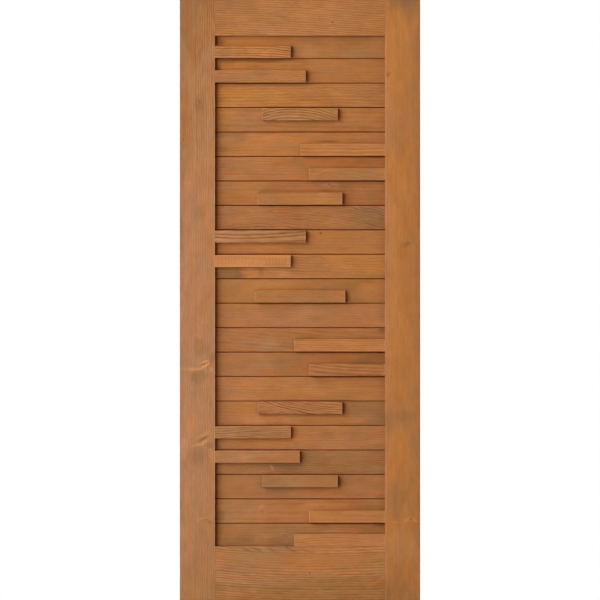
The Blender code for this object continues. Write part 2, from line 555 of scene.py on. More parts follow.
def patched(tree, patches, colour, lines, place, ragged):
    """The colour and the lines with a piece's patches over them."""
    for patch in patches:
        cover = patch.cover(*place, ragged)
        colour = blended(tree, cover, colour, TONES[patch.tone])
        if patch.figure != 1.0:
            lines = lines * (cover * (patch.figure - 1.0) + 1.0)
    return colour, lines


def knotted(tree, knots, colour, lines, place, ragged):
    """The colour and the lines with a piece's knots over them, and how far they shift the rings."""
    shift = None
    for knot in knots:
        lengthwise, sideways = knot.place(*place)
        away = length(lengthwise, sideways) + ragged * knot.RAGGEDNESS
        halo = away.ramp(*knot.HALO) * knot.HALO_STRENGTH
        colour = blended(tree, halo, colour, TONES[knot.halo])
        lines = knot.over(lines, away, ragged)
        bulge = knot.bulge(away, sideways)
        shift = bulge * -1.0 if shift is None else shift - bulge
    return colour, lines, shift


def rubbed_and_lit_arris(gaps, ragged, wear_and_highlight):
    """How far the wood is rubbed pale and lit with painted highlight, given the gaps to a piece's
    faces along X, Y and Z.
    """
    nearest = least(gaps[0], gaps[1])
    farther = greatest(gaps[0], gaps[1])
    to_arris = greatest(nearest, least(farther, gaps[2]))
    return to_arris.ramp(*WORN_AND_LIT_ARRIS) * greatest(ragged * WORN_AND_LIT_RAGGEDNESS + wear_and_highlight, 0.0)


def wood_material(node, grain, cut, stain_and_shade):
    """The finish of a piece whose grain runs along "X" or "Z".

    stain_and_shade is a function that gives how much stain and painted shade darken a place in
    the frame, or None.
    """
    low, high = BOXES[node]
    half = (high - low) / 2
    material = bpy.data.materials.new(f"{node}_wood")
    material.use_nodes = True
    tree = material.node_tree
    shader = tree.nodes["Principled BSDF"]
    coordinates = tree.nodes.new("ShaderNodeTexCoord")
    world = split_vector(tree, coordinates.outputs["Object"])
    x, y, z = (value - middle for value, middle in zip(world, (low + high) / 2))
    facing_x, _, facing_z = split_vector(tree, coordinates.outputs["Normal"])
    if grain == "Z":
        place, half_length, end_facing = (z, x), half.z, facing_z
    else:
        place, half_length, end_facing = (x, z), half.x, facing_x
    along, across = place
    ragged = noise("ragged edge", (along + cut.grain["seed"], across, y))

    wood = tree.nodes.new("ShaderNodeGroup")
    wood.node_tree = SOFTWOOD
    feed(wood.inputs["Along"], along)
    feed(wood.inputs["Across"], across)
    feed(wood.inputs["Depth"], y)
    for name, value in cut.grain.items():
        wood.inputs[name.replace("_", " ").capitalize()].default_value = value
    given = {name: Value(tree, wood.outputs[name]) for name in WOOD_OUTPUTS}

    colour = TONES[cut.start]
    if cut.end != cut.start:
        turn = (along / half_length + ragged * TURN_RAGGEDNESS).ramp(*TURN_OF_TONE)
        colour = blended(tree, turn, TONES[cut.start], TONES[cut.end])
    colour, lines = patched(tree, cut.patches, colour, given["Lines"], place, ragged)
    colour, lines, shift = knotted(tree, cut.knots, colour, lines, place, ragged)
    if shift is not None:
        feed(wood.inputs["Ring shift"], shift)

    cloud = given["Cloud"] + abs(end_facing).ramp(*ENDS_FACE) * END_GRAIN + cut.thirst
    colour = tinted(tree, colour, given["Coolness"], COOL)
    colour = tinted(tree, colour, given["Blush"], BLUSH)
    colour = tinted(tree, colour, cloud, CLOUD)
    colour = tinted(tree, colour, lines, LINE)
    # Stain in the joints, and painted shade in the recess and on the edges.
    if stain_and_shade:
        colour = tinted(tree, colour, stain_and_shade(world, y), STAIN_AND_SHADE_TINT)
    # Arrises rubbed pale, partly as painted highlight.
    gaps = [size - abs(value) for value, size in zip((x, y, z), half)]
    colour = blended(tree, rubbed_and_lit_arris(gaps, ragged, cut.wear_and_highlight), colour, TONES["worn_and_lit"])

    feed(shader.inputs["Base Color"], colour)
    roughness = lines * LINE_ROUGHNESS + ragged * RAGGED_ROUGHNESS + ROUGHNESS
    feed(shader.inputs["Roughness"], roughness)
    shader.inputs["Specular IOR Level"].default_value = SPECULAR
    bump = tree.nodes.new("ShaderNodeBump")
    bump.inputs["Strength"].default_value = RELIEF_STRENGTH
    bump.inputs["Distance"].default_value = RELIEF_HEIGHT
    feed(bump.inputs["Height"], given["Relief"])
    feed(shader.inputs["Normal"], bump.outputs[0])
    return material


# --- Pieces ---

ARRIS = 0.0006
ARRIS_SEGMENTS = 2
SHARP = math.radians(35)
FLAT = math.radians(1)
TOUCHING = 0.0005
SAME_POINT = 0.00001


def lies_against_another(node, edge):
    """Whether the middle of a CAD node's edge touches another node."""
    middle = (edge.verts[0].co + edge.verts[1].co) / 2
    for other, (low, high) in BOXES.items():
        inside = [low[axis] - TOUCHING < middle[axis] < high[axis] + TOUCHING for axis in range(3)]
        if other != node and all(inside):
            return True
    return False


def finished_piece(node, material):
    """A copy of a CAD node with whole faces and eased free edges, which stands in its place."""
    bm = bmesh.new()
    bm.from_mesh(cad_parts[node].data)
    bmesh.ops.remove_doubles(bm, verts=bm.verts, dist=SAME_POINT)
    bmesh.ops.dissolve_limit(bm, angle_limit=FLAT, verts=bm.verts, edges=bm.edges)
    sharp = [edge for edge in bm.edges if edge.is_convex and edge.calc_face_angle() > SHARP]
    sharp = [edge for edge in sharp if not lies_against_another(node, edge)]
    bmesh.ops.bevel(
        bm,
        geom=sharp,
        offset=ARRIS,
        segments=ARRIS_SEGMENTS,
        profile=0.5,
        affect="EDGES",
        clamp_overlap=True,
    )
    mesh = bpy.data.meshes.new(f"{node}_wood")
    bm.to_mesh(mesh)
    bm.free()
    mesh.materials.append(material)
    mesh.shade_smooth()
    mesh.set_sharp_from_angle(angle=SHARP)
    piece = bpy.data.objects.new(f"{node}_wood", mesh)
    bpy.context.scene.collection.objects.link(piece)
    weighted = piece.modifiers.new("flat faces stay flat", "WEIGHTED_NORMAL")
    weighted.mode = "FACE_AREA"
    weighted.weight = 100
    weighted.keep_sharp = True
    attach(piece, "root")
    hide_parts(node)


# --- How each piece was cut ---

# Each board and bar is read from wood of its own, and the boards lean a little either way.
FIRST_BOARD_SEED, BOARD_SEED_STEP = 10.0, 1.37
BOARD_TILT, BOARD_TILT_TURN = 0.01, 2.1
FIRST_BAR_SEED, BAR_SEED_STEP = 50.0, 2.11
BAR_END_HIGHLIGHT = (0.004, 0.04, 0.25)  # a painted highlight on each bar's right end: half length, half width and strength

CUTS = {
    "stile_left": Cut("rose", [
        Patch("sage", 0.68, 0, 0.27, 0.2, 0.9, figure=1.5),
        Patch("olive", 0.98, -0.01, 0.22, 0.2, 1, figure=1.2),
        Patch("moss", 1.0, -0.03, 0.2, 0.14, 1),
        Patch("umber", 1, -0.03, 0.14, 0.14, 0.4),
        Patch("slate", 1, -0.03, 0.1, 0.14, 0.3),
        Patch("olive", 0.93, 0.035, 0.08, 0.035, 0.6, figure=1.8),
        Patch("moss", 0.68, -0.057, 0.5, 0.028, 0.8),
        Patch("sage", -0.45, -0.062, 0.5, 0.02, 0.5),
        Patch("tan", 0.1, 0.06, 0.9, 0.03, 0.3),
        Patch("rose", 0.58, 0.036, 0.27, 0.02, 0.6),
        Patch("tan", 0.75, 0.04, 0.1, 0.014, 0.6),
        Patch("sage", -1.0, 0, 0.26, 0.2, 0.9),
        Patch("slate", 0.655, 0.012, 0.05, 0.02, 0.5),
        Patch("slate", 0.29, 0.01, 0.03, 0.02, 0.3),
        Patch("umber", -0.155, 0.006, 0.034, 0.045, 0.5),
        Patch("blond", -0.42, -0.02, 0.04, 0.035, 0.35),
        # A painted highlight along the stile's inner arris.
        Patch("worn_and_lit", -0.1, 0.0568, 0.9, 0.0026, 0.6),
        Patch("slate", -0.254, 0.01, 0.022, 0.034, 0.6),
        Patch("gold", -0.221, 0.042, 0.01, 0.01, 0.9),
        Patch("peach", -0.23, -0.005, 0.024, 0.0052, 0.8, slant=88, figure=0.4),
        Patch("peach", -0.23, -0.035, 0.025, 0.006, 0.3, slant=90),
        Patch("peach", -0.219, 0.025, 0.018, 0.0048, 1, slant=57, figure=0.4),
        Patch("peach", -0.206, 0.025, 0.014, 0.0042, 1, slant=70, figure=0.4),
        Patch("peach", -0.232, 0.046, 0.01, 0.005, 0.6),
        Patch("slate", -0.52, 0.004, 0.034, 0.034, 0.5),
        Patch("peach", -0.482, 0.004, 0.022, 0.0066, 0.8, slant=82, figure=0.4),
        Patch("peach", -0.473, 0.021, 0.015, 0.006, 0.8, slant=60, figure=0.4),
        Patch("peach", -0.45, 0.018, 0.028, 0.006, 0.4, slant=62, figure=0.4),
        Patch("slate", -0.484, 0.042, 0.01, 0.012, 0.6),
        Patch("peach", -0.515, 0.046, 0.026, 0.007, 0.25),
        Patch("peach", -0.7273, 0.015, 0.02, 0.005, 0.7, slant=82),
        Patch("peach", -0.7367, 0.0033, 0.006, 0.005, 0.5),
        Patch("umber", -0.7393, 0.0417, 0.012, 0.0065, 0.6, slant=100),
        Patch("slate", 0.493, -0.015, 0.05, 0.03, 0.3),
        Patch("umber", 0.97, 0.01, 0.04, 0.04, 0.3),
        Patch("slate", -0.557, -0.028, 0.03, 0.025, 0.3),
        Patch("umber", -0.193, 0.05, 0.02, 0.009, 0.5),
        Patch("peach", -0.493, -0.045, 0.04, 0.012, 0.45),
        Patch("blond", -0.617, 0.005, 0.03, 0.02, 0.45),
        Patch("moss", 0.967, 0.008, 0.03, 0.02, 0.4),
        Patch("sage", 0.443, -0.022, 0.03, 0.01, 0.5),
        Patch("slate", -0.347, 0.045, 0.02, 0.008, 0.35),
        Knot(-0.2125, 0.022, 0.0014, stretch=4.0, slant=66, dark=0.3, halo="umber"),
        Knot(-0.4617, 0.02, 0.0022, stretch=5.2, slant=61, dark=0.4, halo="umber"),
        Knot(-0.731, 0.026, 0.003, stretch=2.4, slant=70, dark=0.5, halo="rose"),
        Knot(0.533, -0.046, 0.004, dark=0.9, halo="mauve"),
        Knot(0.66, 0.0075, 0.0022, stretch=3.2, dark=1.3, halo="mauve"),
    ], thirst=0.03, seed=1.3, ring_width=0.0067, figure=0.38, waver=0.7),
    "stile_right": Cut("gold", [
        Patch("honey", 0, 0.055, 1.4, 0.055, 0.9),
        Patch("olive", 0.78, 0.06, 0.24, 0.035, 0.8),
        Patch("olive", 0.06, 0.07, 0.18, 0.022, 0.8),
        Patch("olive", -0.55, 0.06, 0.25, 0.03, 0.7),
        Patch("rose", 0, -0.053, 1.4, 0.012, 0.6, figure=2.5),
        Patch("blond", 0.1, -0.035, 0.5, 0.025, 0.25),
        Patch("moss", 0.5, 0.056, 0.5, 0.012, 0.8),
        Patch("moss", 0.1, 0.052, 0.14, 0.016, 0.6),
        Patch("moss", 0.55, 0.052, 0.05, 0.03, 0.5),
        Patch("moss", -0.5, 0.06, 0.55, 0.013, 0.8),
        Patch("moss", 1, 0, 0.09, 0.12, 0.9),
        Patch("slate", 1.0, -0.005, 0.036, 0.05, 1),
        Patch("rose", -0.82, -0.02, 0.06, 0.06, 0.6),
        Patch("mauve", 0.58, -0.005, 0.1, 0.05, 0.7),
        Patch("olive", -0.65, -0.01, 0.1, 0.045, 1),
        Patch("moss", -0.7, -0.02, 0.05, 0.03, 0.5),
        Patch("moss", -0.99, 0, 0.12, 0.12, 0.9),
        Patch("olive", -0.4, 0, 0.045, 0.07, 0.8),
        Patch("amber", -0.358, -0.012, 0.01, 0.045, 0.5),
        Patch("moss", -0.385, 0.006, 0.02, 0.055, 0.6),
        Patch("mauve", -0.34, -0.02, 0.06, 0.03, 0.5),
        Patch("moss", 0.2, 0.025, 0.03, 0.02, 0.6),
        Patch("blond", -0.73, 0.014, 0.016, 0.005, 0.6, slant=50),
        Patch("blond", -0.73, 0.038, 0.016, 0.005, 0.6, slant=-50),
        Patch("blond", -0.739, -0.03, 0.005, 0.022, 0.35),
        Patch("honey", 0.207, -0.035, 0.05, 0.02, 0.5),
        Patch("amber", 0.96, -0.052, 0.05, 0.014, 0.8),
        Patch("olive", 0.157, 0.038, 0.03, 0.008, 0.5),
        Patch("gold", -0.603, 0.005, 0.03, 0.015, 0.5),
        Patch("blond", 0.81, -0.035, 0.04, 0.012, 0.25),
        Knot(0.187, 0.015, 0.007, stretch=1.9, slant=75, dark=0.7, halo="olive", crowd=1.5),
        Knot(0.752, -0.046, 0.0045, stretch=1.6, slant=50, dark=0.6, halo="clay", crowd=1.5),
        Knot(-0.729, 0.028, 0.004, stretch=1.6, slant=60, dark=0.7),
    ], seed=4.9, ring_width=0.0095, figure=0.13),
    "rail_top": Cut("tan", [
        Patch("olive", -0.27, 0.03, 0.12, 0.08, 1),
        Patch("moss", -0.18, 0.035, 0.05, 0.02, 0.5, slant=-25),
        Patch("olive", -0.075, 0.02, 0.05, 0.06, 0.6),
        Patch("honey", 0.27, 0, 0.09, 0.08, 0.9),
        band("amber", 0.04, 0.1, 0.4),
        Patch("moss", -0.27, 0.013, 0.03, 0.025, 0.5),
        Patch("moss", -0.267, 0.013, 0.02, 0.02, 0.4),
        Knot(0.108, -0.016, 0.0026, dark=1.6, halo="tan"),
    ], thirst=0.04, seed=2.2, ring_width=0.0067, uneven=0.4, figure=0.72, waver=0.6, tilt=0.02,
        bow=0.06, bow_centre=-0.25),
    "rail_bottom": Cut("sage", [
        Patch("sage", 0, 0.05, 0.45, 0.038, 1, figure=0.4),
        Patch("tan", 0.09, 0.04, 0.16, 0.04, 0.6),
        Patch("honey", 0.16, 0.02, 0.14, 0.04, 0.6),
        Patch("tan", 0.17, 0.082, 0.13, 0.018, 0.9, figure=2.0),
        Patch("amber", 0.045, 0.022, 0.035, 0.022, 0.6),
        Patch("tan", -0.27, 0.045, 0.05, 0.035, 0.7),
        Patch("tan", 0.15, 0.035, 0.05, 0.02, 0.6),
        Patch("clay", -0.01, 0.03, 0.03, 0.02, 0.5),
        Patch("brown", 0.1, -0.07, 0.5, 0.055, 1),
        Patch("brown", 0.2, -0.035, 0.2, 0.022, 0.7),
        Patch("slate", -0.22, 0.01, 0.06, 0.02, 0.3),
        Patch("umber", 0.26, -0.085, 0.14, 0.03, 0.5),
        Patch("umber", 0.275, -0.035, 0.03, 0.022, 0.6, figure=0.5),
        Patch("tan", 0.262, -0.024, 0.03, 0.006, 0.6, slant=28),
        *(Patch("umber", along, 0.08, 0.02, 0.0045, 0.9, slant=-24)
          for along in (-0.18, -0.144, -0.097, -0.032)),
        Patch("umber", 0.035, 0.072, 0.03, 0.0035, 0.6, slant=-14),
        Patch("amber", 0.15, 0.004, 0.05, 0.014, 0.7),
        Patch("blond", 0.057, 0.057, 0.03, 0.012, 0.25),
        Knot(0.032, 0, 0.0028, dark=2.2, halo="tan"),
        Knot(0.285, -0.032, 0.004, stretch=2.4, slant=90, dark=0.5, halo="brown"),
    ], thirst=-0.01, seed=6.1, bow=-0.12, bow_centre=0.14, ring_width=0.008, uneven=0.8,
        figure=0.9, waver=0.5),
}

# The dark brown patches close under the bars and the top rail, and at the boards' ends by the
# stiles, are painted shadow.
# The boards, and then the bars, by their number from the top down
BOARDS = {
    1: Cut("clay", [
        band("gold", -0.22, 0.16, 0.5),
        Patch("olive", 0.03, -0.022, 0.035, 0.022, 0.9),
        Patch("honey", 0.1, 0, 0.04, 0.03, 0.6),
        band("honey", 0.27, 0.04, 0.8),
        Patch("brown", 0.25, -0.013, 0.04, 0.03, 0.5),
        Patch("bark", -0.274, 0.009, 0.02, 0.03, 0.5),
        Patch("bark", -0.24, 0.036, 0.035, 0.008, 0.55),
    ], end="brown", thirst=-0.07, figure=0.2, ring_width=0.0125, joint=0.45),
    2: Cut("gold", [
        band("ochre", 0.21, 0.05, 0.7),
        Patch("moss", -0.14, 0.01, 0.04, 0.012, 0.3),
        Patch("bark", -0.15, 0.0315, 0.15, 0.008, 0.8),
        Patch("brown", 0.077, 0.025, 0.03, 0.015, 0.5),
        Patch("bark", -0.276, 0.003, 0.012, 0.016, 0.6),
        Patch("umber", 0.25, 0.034, 0.035, 0.008, 0.6),
        Patch("umber", -0.237, 0.018, 0.018, 0.008, 0.3),
        Patch("umber", 0.037, 0.025, 0.03, 0.01, 0.4),
        Patch("gold", 0.22, -0.022, 0.022, 0.012, 0.6),
    ], end="honey", thirst=0.03, figure=0.25, ring_width=0.0085, joint=0.7),
    3: Cut("gold", [
        band("ochre", 0.28, 0.05, 0.5),
        Patch("mauve", 0.03, 0, 0.05, 0.03, 0.4),
        Patch("bark", -0.133, 0.0345, 0.155, 0.006, 0.7),
        Patch("gold", 0.04, -0.03, 0.07, 0.012, 0.9),
        Patch("bark", -0.262, 0.031, 0.03, 0.01, 0.35),
        # Painted light, lifting the shade above bar 3.
        Patch("blond", 0.035, -0.034, 0.05, 0.008, 0.4),
    ], end="honey", thirst=0.02, figure=0.48, waver=1.3, ring_width=0.0094),
    4: Cut("honey", [
        band("sage", -0.19, 0.05, 0.6),
        band("moss", 0.03, 0.04, 0.4),
        Patch("amber", 0.17, 0.005, 0.08, 0.03, 0.6),
        Patch("moss", -0.14, -0.02, 0.06, 0.016, 0.5),
        Patch("moss", -0.193, -0.029, 0.03, 0.012, 0.6),
    ], end="ochre", figure=0.3, ring_width=0.014),
    5: Cut("amber", [
        band("mauve", -0.26, 0.08, 1),
        Patch("moss", -0.2, 0.022, 0.035, 0.02, 0.8),
        Patch("blond", -0.13, -0.014, 0.04, 0.01, 0.25),
        Patch("amber", 0.14, 0, 0.035, 0.03, 0.8),
        Patch("bark", 0.09, 0.0072, 0.036, 0.0026, 1),
        Patch("moss", -0.24, 0.029, 0.04, 0.015, 0.8),
        Patch("umber", -0.127, 0.038, 0.06, 0.006, 0.5),
        Patch("umber", -0.255, -0.018, 0.02, 0.012, 0.5),
        Patch("russet", -0.113, 0.036, 0.03, 0.008, 0.6),
    ], end="clay", thirst=0.02, figure=0.26, waver=1.8, ring_width=0.0074),
    6: Cut("mauve", [
        Patch("moss", -0.01, 0.02, 0.03, 0.02, 0.9),
        band("umber", 0.22, 0.05, 0.3),
        Patch("umber", 0.22, 0.022, 0.06, 0.005, 0.5),
        Patch("bark", 0.262, 0.038, 0.035, 0.008, 0.7),
    ], end="rust", thirst=0.01, figure=0.32, waver=0.8, ring_width=0.0072),
    7: Cut("honey", [
        Patch("rust", 0, 0, 0.06, 0.04, 0.6),
        Patch("rose", 0.1, 0.025, 0.035, 0.01, 0.5),
        band("mauve", 0.235, 0.09, 0.6),
        Patch("moss", 0.155, 0.012, 0.026, 0.024, 0.8),
        Patch("umber", 0.27, -0.012, 0.05, 0.022, 0.5),
        Patch("amber", 0.21, 0.014, 0.022, 0.01, 0.6),
        Patch("umber", 0.085, 0.005, 0.024, 0.004, 0.8),
        Patch("bark", 0.262, 0.039, 0.035, 0.006, 0.6),
        Knot(0.098, 0.0265, 0.0024, dark=1.6, halo="rust"),
        Knot(0.109, 0.019, 0.0018, dark=1.3, halo="rust"),
        Knot(0.21, 0.013, 0.003, dark=0.3, halo="rust"),
    ], end="russet", figure=0.22, ring_width=0.0125, thirst=0.02, joint=1.1),
    8: Cut("mauve", [
        band("slate", -0.25, 0.06, 0.35),
        Patch("russet", -0.02, 0, 0.05, 0.04, 0.7),
        Patch("rust", 0.075, 0, 0.03, 0.04, 0.6),
        Patch("slate", 0.16, -0.015, 0.04, 0.014, 0.6),
        Patch("moss", 0.235, 0, 0.07, 0.06, 1),
        band("slate", 0.255, 0.06, 0.7),
        Patch("mauve", -0.2, 0, 0.14, 0.06, 0.4, figure=0.5),
        Patch("bark", 0, 0.0385, 0.16, 0.0045, 0.6),
        Patch("slate", 0.157, -0.033, 0.03, 0.01, 0.7),
    ], thirst=0.03, waver=1.6, ring_width=0.0079, bow=0.35, bow_centre=-0.1, joint=1.05),
    9: Cut("clay", [
        band("gold", -0.13, 0.13, 0.8),
        Patch("honey", 0.06, -0.01, 0.08, 0.05, 0.5),
        Patch("mauve", 0, -0.02, 0.04, 0.02, 0.5),
        band("ochre", 0.25, 0.07, 0.5),
        Patch("umber", 0.143, -0.026, 0.03, 0.012, 0.5),
        Knot(0.069, 0.027, 0.0032, stretch=1.6, dark=1.5, halo="mauve"),
    ], end="honey", thirst=-0.03, figure=0.22, ring_width=0.0088),
    10: Cut("amber", [
        Patch("slate", -0.238, -0.02, 0.06, 0.045, 1),
        Patch("bark", -0.205, -0.022, 0.012, 0.022, 0.25),
        Patch("slate", -0.13, -0.018, 0.014, 0.02, 0.7),
        Patch("blond", -0.065, 0, 0.045, 0.04, 0.5),
        Patch("honey", 0.03, 0, 0.08, 0.04, 0.7),
        band("gold", 0.22, 0.09, 0.7),
        Patch("olive", 0.22, -0.036, 0.08, 0.01, 0.9),
        Patch("umber", -0.187, 0.002, 0.022, 0.016, 0.45),
        Patch("umber", -0.053, -0.004, 0.025, 0.015, 0.35),
        Patch("umber", -0.14, -0.004, 0.018, 0.012, 0.35),
    ], thirst=0.01, figure=0.42, waver=1.2, ring_width=0.0078),
    11: Cut("honey", [
        band("olive", -0.24, 0.08, 1),
        band("gold", -0.09, 0.09, 0.9),
        Patch("moss", 0.2, 0.033, 0.07, 0.009, 0.9),
        Patch("moss", 0.06, 0.033, 0.03, 0.008, 0.5),
        band("honey", 0.24, 0.06, 0.9),
        Patch("olive", -0.177, -0.03, 0.03, 0.015, 0.8),
        # Painted light, lifting the shade beside the bar's right end.
        Patch("amber", 0.165, -0.023, 0.014, 0.02, 0.6),
        Patch("umber", 0.22, 0.031, 0.03, 0.008, 0.6),
        Patch("amber", 0.055, 0.006, 0.022, 0.012, 0.5),
        Patch("umber", -0.177, -0.034, 0.03, 0.008, 0.4),
        Patch("olive", -0.163, -0.01, 0.025, 0.015, 0.7),
    ], end="brown", thirst=-0.04, figure=0.08),
    12: Cut("mauve", [
        Patch("tan", -0.15, -0.01, 0.08, 0.02, 0.4),
        Patch("tan", 0.04, 0.01, 0.06, 0.02, 0.5),
        Patch("amber", 0.27, -0.025, 0.04, 0.014, 0.8),
        Patch("amber", 0.107, -0.015, 0.035, 0.012, 0.7),
        Patch("moss", -0.177, 0.037, 0.05, 0.008, 0.8),
        Patch("moss", 0.27, 0.03, 0.02, 0.012, 0.7),
    ], thirst=-0.02, figure=0.3, waver=1.3, ring_width=0.0072, joint=0.72),
    13: Cut("mauve", [
        Patch("rose", -0.1, -0.012, 0.035, 0.02, 0.5),
        Patch("olive", -0.04, 0.02, 0.02, 0.012, 0.7),
        Patch("moss", 0.015, -0.01, 0.07, 0.034, 0.9),
        Patch("umber", 0.06, 0.027, 0.06, 0.004, 0.8, slant=-4),
        Patch("umber", 0, 0.016, 0.05, 0.0035, 0.5, slant=-8),
        Patch("umber", 0.19, 0.022, 0.07, 0.004, 0.6),
        Patch("moss", 0.21, 0, 0.035, 0.03, 0.4),
        Patch("bark", 0.276, 0.034, 0.012, 0.012, 0.6),
    ], end="clay", thirst=0.01, tilt=0.08, figure=0.28, ring_width=0.0112, joint=0.92),
    14: Cut("mauve", [
        band("sage", -0.2, 0.1, 0.9),
        band("moss", -0.035, 0.055, 1),
        Patch("russet", -0.035, -0.018, 0.03, 0.012, 0.6),
        band("umber", 0.22, 0.06, 1),
        Patch("bark", 0.27, 0.038, 0.022, 0.008, 0.7),
        Patch("sage", -0.063, -0.016, 0.03, 0.015, 0.4),
    ], end="rust", thirst=0.02, figure=0.12, ring_width=0.01, joint=0.95),
    15: Cut("tan", [
        Patch("olive", -0.21, 0.022, 0.03, 0.012, 0.6),
        band("sage", -0.25, 0.06, 0.3),
        Patch("amber", 0.02, -0.014, 0.1, 0.014, 0.9),
        Patch("rust", 0.03, -0.022, 0.05, 0.01, 0.3),
    ], end="honey", thirst=-0.02, figure=0.36, waver=1.2, ring_width=0.0083, joint=0.65),
    16: Cut("amber", [
        band("mauve", -0.28, 0.06, 1),
        Patch("amber", -0.04, -0.01, 0.15, 0.045, 1),
        Patch("rose", -0.01, 0, 0.06, 0.04, 0.4),
        Patch("blond", -0.1, -0.022, 0.08, 0.01, 0.3),
        Patch("slate", 0.24, 0.01, 0.05, 0.02, 0.4),
        Patch("amber", 0.18, -0.026, 0.035, 0.009, 0.8),
        # Painted light, lifting the shade beside the bar's right end.
        Patch("amber", 0.158, 0.03, 0.014, 0.02, 0.5),
        Patch("umber", -0.217, -0.033, 0.03, 0.008, 0.4),
    ], end="moss", thirst=0.01, figure=0.2, ring_width=0.011, joint=0.65),
    17: Cut("tan", [
        band("mauve", -0.28, 0.06, 0.9),
        band("amber", -0.09, 0.1, 1),
        Patch("mauve", -0.01, -0.028, 0.014, 0.012, 0.8),
        Patch("moss", 0.09, 0.01, 0.035, 0.018, 0.8),
        band("moss", 0.21, 0.06, 0.5),
        Patch("moss", 0.267, -0.03, 0.03, 0.014, 0.6),
    ], figure=0.32, waver=1.2, ring_width=0.0074, joint=0.58),
    18: Cut("mauve", [
        Patch("slate", -0.02, 0, 0.1, 0.04, 0.8),
        Patch("slate", -0.05, -0.022, 0.045, 0.018, 0.9),
        Patch("blond", -0.093, -0.022, 0.01, 0.0045, 0.7, slant=-60),
    ], end="moss", thirst=0.05, figure=0.52, waver=1.2, ring_width=0.0068, joint=0.58),
    19: Cut("mauve", [
        band("olive", -0.24, 0.04, 0.6),
        band("slate", -0.09, 0.07, 0.75),
        Patch("rose", -0.18, 0.03, 0.02, 0.007, 0.6, slant=-30),
        Patch("rust", 0.08, -0.018, 0.06, 0.016, 0.5),
        Patch("moss", 0.18, 0.005, 0.06, 0.04, 0.4),
        Patch("bark", 0.265, -0.034, 0.02, 0.01, 0.35),
    ], thirst=0.01, figure=0.08, joint=0.85),
    20: Cut("mauve", [
        band("sage", -0.22, 0.1, 1),
        Patch("amber", 0.08, 0.01, 0.08, 0.02, 0.8),
        Patch("blond", -0.13, 0.004, 0.007, 0.018, 0.6, slant=-20),
        Patch("moss", 0.26, 0.01, 0.05, 0.04, 0.7),
        Patch("bark", -0.265, -0.018, 0.015, 0.02, 0.35),
        Knot(-0.127, -0.004, 0.005, stretch=1.8, dark=0.5, halo="tan"),
    ], end="russet", thirst=-0.03, figure=0.24, waver=1.5, ring_width=0.014, joint=0.8),
    21: Cut("moss", [
        Patch("slate", -0.17, -0.01, 0.05, 0.03, 0.7),
        Patch("tan", -0.13, -0.01, 0.03, 0.03, 0.3),
        Patch("slate", -0.04, -0.01, 0.05, 0.04, 0.7),
        band("rose", 0.13, 0.07, 0.4),
        band("clay", 0.18, 0.06, 0.7),
        Patch("bark", 0.27, 0.036, 0.022, 0.008, 0.6),
        Patch("moss", 0.267, -0.037, 0.02, 0.012, 0.5),
        Patch("olive", -0.073, 0.01, 0.025, 0.012, 0.6),
    ], end="brown", thirst=-0.07, figure=0.36, waver=1.3, ring_width=0.0068, joint=0.65),
}
for number, cut in BOARDS.items():
    cut.grain["seed"] = FIRST_BOARD_SEED + number * BOARD_SEED_STEP
    cut.grain.setdefault("tilt", BOARD_TILT * math.sin(number * BOARD_TILT_TURN))
    CUTS[f"board_{number:02d}"] = cut

